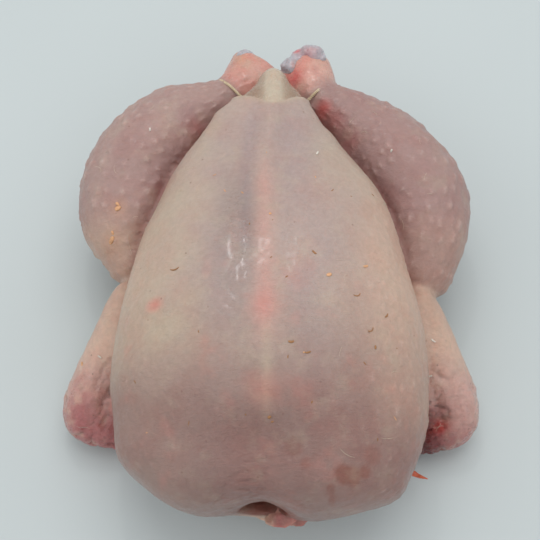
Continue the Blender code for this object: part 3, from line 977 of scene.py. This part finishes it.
# Fine hairs the plucking left: x, y, heading, length, bend and how far the end stands off the skin.
HAIRS = (
    (-77, 33, -1.2, 6.5, 1.2, 0.6), (-70, -1, -1.3, 8.0, 0.3, 0.4), (-94, 10, 2.6, 6.0, 1.6, 3.0),
    (-93, -8, 2.8, 7.0, 1.4, 2.6), (-88, -88, 3.0, 6.0, 0.8, 2.0), (48, -112, 0.2, 6.0, 0.5, 0.3),
    (30, -118, -0.4, 7.0, 0.8, 0.3), (-84, 30, 2.2, 5.0, 1.8, 2.2),
)
# Stubs of broken quills: x, y, heading and length.
STUBS = (
    (22, 25, 1.2, 1.6), (78, -50, -0.5, 2.4), (77, -66, 0.4, 2.2), (-60, 50, 1.5, 1.6),
    (-82, -58, 2.4, 2.0), (60, 40, 1.0, 1.5),
)


def lay_pieces(name, strips, tints, rough):
    """Join the strips that met the skin into one piece, each in its own tint."""
    kept = [(strip, tint) for strip, tint in zip(strips, tints) if strip is not None]
    piece = mesh_object(name, *joined([strip for strip, _ in kept]))
    tint = np.vstack([np.repeat(linear(tint)[None], len(strip[0]), axis=0) for strip, tint in kept])
    return finish_raw(piece, tint, wet_material(name, rough, 0.05, 0.1, 0.2, 900))


def make_small_things(skin, colours):
    """Flecks of dried outer skin, fine hairs and quill stubs: the placed ones, and more at random."""
    tree = BVHTree.FromObject(skin, bpy.context.evaluated_depsgraph_get())
    throw = np.random.default_rng(5)
    dried = {"orange": colours.fleck_orange, "brown": colours.fleck_brown}
    strips = [
        laid_strip(tree, x, y, turn, long, wide, 0.22, bend, 0.1)
        for x, y, turn, long, wide, bend, _ in FLECKS
    ]
    tints = [dried[kind] for *_, kind in FLECKS]
    for _ in range(26):
        x, y = throw.uniform(-60, 62), throw.uniform(-115, 30)
        turn, bend = throw.uniform(0, 6.3), throw.uniform(-1.5, 1.5)
        long, wide = throw.uniform(0.7, 2.0), throw.uniform(0.15, 0.4)
        strips.append(laid_strip(tree, x, y, turn, long, wide, 0.15, bend, 0.1, 5))
        tints.append(dried["brown" if throw.random() < 0.6 else "orange"])
    lay_pieces("skin_flecks", strips, tints, 0.5)
    strips = [
        laid_strip(tree, x, y, turn, long, 0.09, 0.09, bend, lift, 12)
        for x, y, turn, long, bend, lift in HAIRS
    ]
    for _ in range(34):
        side = 1 if throw.random() < 0.5 else -1
        x, y = side * throw.uniform(30, 92), throw.uniform(-90, 70)
        turn, bend, long = throw.uniform(0, 6.3), throw.uniform(-2, 2), throw.uniform(2.5, 6)
        strips.append(laid_strip(tree, x, y, turn, long, 0.07, 0.07, bend, throw.uniform(0.1, 0.8), 12))
    lay_pieces("fine_hairs", strips, [colours.hair] * len(strips), 0.4)
    strips = [laid_strip(tree, x, y, turn, long, 0.5, 0.45, 0.3, 0.8, 6, 8) for x, y, turn, long in STUBS]
    lay_pieces("quill_stubs", strips, [colours.quill] * len(strips), 0.35)


# The elastic


def make_elastic(sizes, colours):
    """Two strands laid round each other: each strand's middle circles the loop's line as it goes along it."""
    count = 900
    path = between(ELASTIC, np.arange(count) / count, closed=True)
    way = unit(np.roll(path, -1, axis=0) - np.roll(path, 1, axis=0))
    out = path - path.mean(axis=0)
    out = unit(out - way * (out * way).sum(axis=1)[:, None])
    over = np.cross(way, out)
    turns = 64
    forms = []
    for strand in range(2):
        spin = np.arange(count) / count * turns * 2 * math.pi + strand * math.pi
        middle = path + 0.36 * sizes.elastic * (
            out * np.cos(spin)[:, None] + over * np.sin(spin)[:, None]
        )
        turn = np.arange(8) * math.pi / 4
        points = middle[:, None] + 0.48 * sizes.elastic * (
            out[:, None] * np.cos(turn)[:, None] + over[:, None] * np.sin(turn)[:, None]
        )
        forms.append((points.reshape(-1, 3), [tuple(f) for f in grid_faces(count, 8, wrap_rows=True)]))
    elastic = mesh_object("truss_elastic_thread", *joined(forms))
    g = Graph("cream_elastic_thread")
    at = g.place()
    dirt = g.span(g.noise(500, 4, 0.6, at), 0.35, 0.7)
    worn = g.blend(dirt, shade(colours.elastic), shade(colours.elastic_dirty))
    g.set(Base_Color=worn, Roughness=g.span(g.noise(900, 3, 0.5, at), 0.2, 0.8, 0.5, 0.75))
    g.set(Normal=g.bump(g.noise(2600, 2, 0.6, at), 0.0002, 0.6), Sheen_Weight=0.15)
    elastic.data.materials.append(g.material)
    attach(elastic, "root")
    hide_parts("truss_elastic")
    return elastic


# The stage


def make_stage(stage):
    """A pale floor, a broad soft lamp above and behind, a pale sky, and the camera looking down on the
    neck end."""
    rows, reaches, under = 9, 8, -0.0004
    line = np.linspace(-reaches, reaches, rows)
    gx, gy = np.meshgrid(line, line)
    flat = np.stack([gx.ravel(), gy.ravel(), np.full(rows * rows, under)], axis=1)
    mesh = bpy.data.meshes.new("floor")
    mesh.from_pydata(flat, [], [tuple(f) for f in grid_faces(rows, rows, wrap_columns=False)])
    floor = bpy.data.objects.new("floor", mesh)
    bpy.context.scene.collection.objects.link(floor)
    g = Graph("pale_floor")
    paler = [c * 1.015 for c in stage.floor]
    cloud = g.blend(g.span(g.noise(3, 2, 0.5), 0.3, 0.7), shade(stage.floor), shade(paler))
    g.set(Base_Color=cloud, Roughness=0.45)
    g.shader.inputs["Specular IOR Level"].default_value = 0.25
    mesh.materials.append(g.material)
    world = bpy.data.worlds.new("pale_room")
    bpy.context.scene.world = world
    world.use_nodes = True
    back = world.node_tree.nodes["Background"]
    back.inputs["Color"].default_value = (0.93, 0.97, 1.0, 1)
    back.inputs["Strength"].default_value = stage.sky
    for name, place, size, power in (
        ("lamp_above", (0.06, 0.30, 1.0), 0.9, stage.lamp),
        ("lamp_side", (-0.8, -0.1, 0.8), 0.7, stage.lamp * 0.15),
        ("lamp_small", (-0.07, 0.44, 0.90), 0.05, stage.lamp * 0.10),
    ):
        light = bpy.data.lights.new(name, "AREA")
        light.shape = "DISK"
        light.size, light.energy = size, power
        lamp = bpy.data.objects.new(name, light)
        lamp.location = place
        lamp.rotation_euler = Vector(place).to_track_quat("Z", "Y").to_euler()
        bpy.context.scene.collection.objects.link(lamp)
    camera = bpy.data.objects.new("camera", bpy.data.cameras.new("camera"))
    bpy.context.scene.collection.objects.link(camera)
    camera.data.sensor_width, camera.data.lens = 36, stage.lens
    target = (np.array((0, -12, 45)) - BIRD_MIDDLE) * MM
    back_way = np.array((0, -math.cos(stage.angle), math.sin(stage.angle)))
    camera.location = target + back_way * stage.distance
    camera.rotation_euler = Vector(back_way).to_track_quat("Z", "Y").to_euler()
    bpy.context.scene.camera = camera
    bpy.context.scene.view_settings.view_transform = "Standard"


# The add-on


def size_prop(name, description, default, low, high):
    return bpy.props.FloatProperty(name=name, description=description, default=default, min=low, max=high)


def colour_prop(name, description, colour):
    """A colour property from three numbers as a screen shows them, from 0 to 255."""
    default = tuple(c / 255 for c in colour)
    return bpy.props.FloatVectorProperty(
        name=name, description=description, default=default, size=3, min=0, max=1, subtype="COLOR_GAMMA"
    )


class ChickenSizes(bpy.types.PropertyGroup):
    """Sizes of the chicken's fine shapes, in millimetres."""

    voxel: size_prop("Skin grid", "Width of one face of the skin, in millimetres", 1.4, 0.8, 6)
    smoothing: bpy.props.IntProperty(
        name="Smoothing", description="Rounds of smoothing", default=9, min=0, max=60
    )
    ridge: size_prop("Keel ridge", "Height of the ridge over the keel, in millimetres", 1.3, 0, 4)
    groove: size_prop("Neck groove", "Depth of the groove at the neck end, in millimetres", 1.3, 0, 4)
    crease: size_prop("Crease", "Extra depth of the folds by the legs, in millimetres", 1.8, 0, 8)
    sink: size_prop("Neck notch", "Depth of the notch over the neck's opening, in millimetres", 8.5, 0, 15)
    wrinkle: size_prop("Wrinkle", "Depth of the wrinkles on the wings, in millimetres", 2.8, 0, 4)
    follicle_gap: size_prop("Follicle gap", "Gap between follicles on the legs, in millimetres", 6.0, 3, 12)
    follicle_height: size_prop("Follicle height", "Height of a follicle, in millimetres", 0.95, 0, 2)
    elastic: size_prop("Elastic", "Thickness of a strand of the elastic, in millimetres", 1.0, 0.4, 2)


class ChickenColours(bpy.types.PropertyGroup):
    """Colours of the chicken, as a screen shows them, some with painted shade or painted light in them."""

    breast: colour_prop("Breast", "Skin over the breast", (191, 166, 152))
    muscle: colour_prop("Muscle", "Skin with the breast's muscle showing through", (172, 150, 146))
    peach: colour_prop("Peach", "Fat skin at the flanks and knees", (208, 174, 152))
    # Painted shade: the breast's colour darkened for the neck end, where the surface turns down away from the
    # light.
    neck_end_shade: colour_prop("Neck end", "Skin at the neck end of the breast", (156, 131, 121))
    neck_red: colour_prop("Reddened neck", "Redder skin by the neck", (148, 108, 100))
    keel_stripe: colour_prop("Keel stripe", "Pink stripe over the keel", (206, 156, 144))
    leg: colour_prop("Leg", "Skin over the legs", (174, 142, 134))
    # Also painted as shade on the legs where they run in under the breast.
    leg_deep_and_shade: colour_prop("Deep leg", "Skin over the legs where more flesh shows", (160, 122, 118))
    # The wing's own pale skin, made lighter as painted light bounced up from the floor.
    wing: colour_prop("Wing", "Skin over the upper wing", (232, 196, 174))
    wing_end: colour_prop("Wrist", "Skin over the wing's wrist", (222, 178, 165))
    raw: colour_prop("Raw", "Raw flesh", (172, 90, 86))
    wing_red: colour_prop("Red wrist", "Reddened skin low on the wing's wrist", (190, 108, 108))
    wound: colour_prop("Wound", "Dark raw flesh where the wing's tip was cut off", (118, 44, 42))
    # Raw flesh darkened as painted shade inside the neck's opening.
    inside: colour_prop("Inside", "Dark wall of the neck's opening", (132, 72, 56))
    knob: colour_prop("Keel tip", "Cartilage at the tip of the keel", (191, 174, 152))
    knob_side: colour_prop("Keel tip side", "Thin skin beside the tip of the keel", (146, 118, 94))
    shank_left: colour_prop("Left shank", "Skin of the left shank", (208, 148, 133))
    shank_right: colour_prop("Right shank", "Skin of the right shank", (214, 164, 148))
    blood: colour_prop("Blood", "Bright blood spot", (200, 70, 62))
    sore: colour_prop("Sore", "Reddened skin", (214, 130, 116))
    bruise: colour_prop("Bruise", "Brownish bruise under the skin", (146, 92, 78))
    scald: colour_prop("Scald", "Yellowish rubbed skin", (206, 158, 128))
    # Painted shade, with the skin's own redness, deep in the creases by the legs.
    fold_shade: colour_prop("Fold", "Skin deep in the folds by the legs", (140, 84, 76))
    fat: colour_prop("Fat", "Fat that shows through the skin", (196, 178, 154))
    follicle: colour_prop("Follicle", "Tip of a follicle", (210, 182, 172))
    pore: colour_prop("Pore", "Empty pore", (128, 92, 78))
    cartilage: colour_prop("Cartilage", "Pearly cartilage at the hocks", (172, 164, 168))
    # Painted shade in the hollows between the hock's knobs.
    cartilage_hollow_shade: colour_prop("Dark cartilage", "Cartilage in its hollows", (136, 108, 118))
    neck_flesh: colour_prop("Neck flesh", "Torn flesh at the neck", (178, 118, 106))
    shred: colour_prop("Shred", "Dried shred of skin", (196, 92, 58))
    fleck_orange: colour_prop("Orange fleck", "Fleck of yellow outer skin", (216, 162, 120))
    fleck_brown: colour_prop("Brown fleck", "Fleck of dried outer skin", (160, 114, 74))
    hair: colour_prop("Hair", "Fine pale hair", (204, 184, 162))
    quill: colour_prop("Quill", "Stub of a broken quill", (222, 212, 200))
    elastic: colour_prop("Elastic", "Clean elastic", (222, 205, 174))
    elastic_dirty: colour_prop("Worn elastic", "Wet and worn elastic", (190, 164, 128))


class ChickenStage(bpy.types.PropertyGroup):
    """The floor, the lamps and the camera."""

    floor: colour_prop("Floor", "Colour of the floor", (193, 199, 198))
    sky: size_prop("Sky", "Strength of the even light", 0.84, 0, 3)
    lamp: size_prop("Lamp", "Power of the lamp above, in watts", 3.4, 0, 200)
    lens: size_prop("Lens", "Focal length of the camera, in millimetres", 80, 10, 300)
    angle: bpy.props.FloatProperty(
        name="Angle", description="How far the camera looks down", default=math.radians(65), subtype="ANGLE"
    )
    distance: bpy.props.FloatProperty(
        name="Distance", description="From the camera to the chicken", default=0.6,
        subtype="DISTANCE", unit="LENGTH",
    )


class ChickenSkin(bpy.types.Operator):
    """Make the skin over trunk, legs and wings"""

    bl_idname = "chicken.make_skin"
    bl_label = "Make skin"

    def execute(self, context):
        make_skin(context.scene.chicken_sizes, context.scene.chicken_colours)
        return {"FINISHED"}


class ChickenCutEnds(bpy.types.Operator):
    """Make the cartilage at the hocks, the torn flesh at the neck and the shred of skin"""

    bl_idname = "chicken.make_cut_ends"
    bl_label = "Make cut ends"

    def execute(self, context):
        for name in HOCKS:
            make_hock(name, context.scene.chicken_colours)
        make_neck_flap(context.scene.chicken_colours)
        make_shred(context.scene.chicken_colours)
        return {"FINISHED"}


class ChickenSmallThings(bpy.types.Operator):
    """Lay flecks of dried skin, fine hairs and quill stubs on the skin"""

    bl_idname = "chicken.lay_small_things"
    bl_label = "Lay small things"

    def execute(self, context):
        make_small_things(bpy.data.objects["chicken_skin"], context.scene.chicken_colours)
        return {"FINISHED"}


class ChickenElastic(bpy.types.Operator):
    """Make the elastic round the shanks"""

    bl_idname = "chicken.make_elastic"
    bl_label = "Make elastic"

    def execute(self, context):
        make_elastic(context.scene.chicken_sizes, context.scene.chicken_colours)
        return {"FINISHED"}


class ChickenSetStage(bpy.types.Operator):
    """Make the floor, the lamps and the camera"""

    bl_idname = "chicken.set_stage"
    bl_label = "Set stage"

    def execute(self, context):
        make_stage(context.scene.chicken_stage)
        return {"FINISHED"}


OPERATORS = (ChickenSkin, ChickenCutEnds, ChickenSmallThings, ChickenElastic, ChickenSetStage)


class ChickenPanel(bpy.types.Panel):
    """Sizes, colours and the steps that make the chicken"""

    bl_label = "Raw chicken"
    bl_idname = "VIEW3D_PT_chicken"
    bl_space_type = "VIEW_3D"
    bl_region_type = "UI"
    bl_category = "Chicken"

    def draw(self, context):
        for operator in OPERATORS:
            self.layout.operator(operator.bl_idname)
        for name, _ in GROUPS:
            group = getattr(context.scene, name)
            box = self.layout.box()
            for key in group.__annotations__:
                box.prop(group, key)


GROUPS = (
    ("chicken_sizes", ChickenSizes),
    ("chicken_colours", ChickenColours),
    ("chicken_stage", ChickenStage),
)


def register():
    for name, group in GROUPS:
        bpy.utils.register_class(group)
        setattr(bpy.types.Scene, name, bpy.props.PointerProperty(type=group))
    for each in (*OPERATORS, ChickenPanel):
        bpy.utils.register_class(each)


def unregister():
    for each in reversed((*OPERATORS, ChickenPanel)):
        bpy.utils.unregister_class(each)
    for name, group in reversed(GROUPS):
        delattr(bpy.types.Scene, name)
        bpy.utils.unregister_class(group)


def main():
    register()
    for operator in OPERATORS:
        family, name = operator.bl_idname.split(".")
        getattr(getattr(bpy.ops, family), name)()


if __name__ == "__main__":
    main()
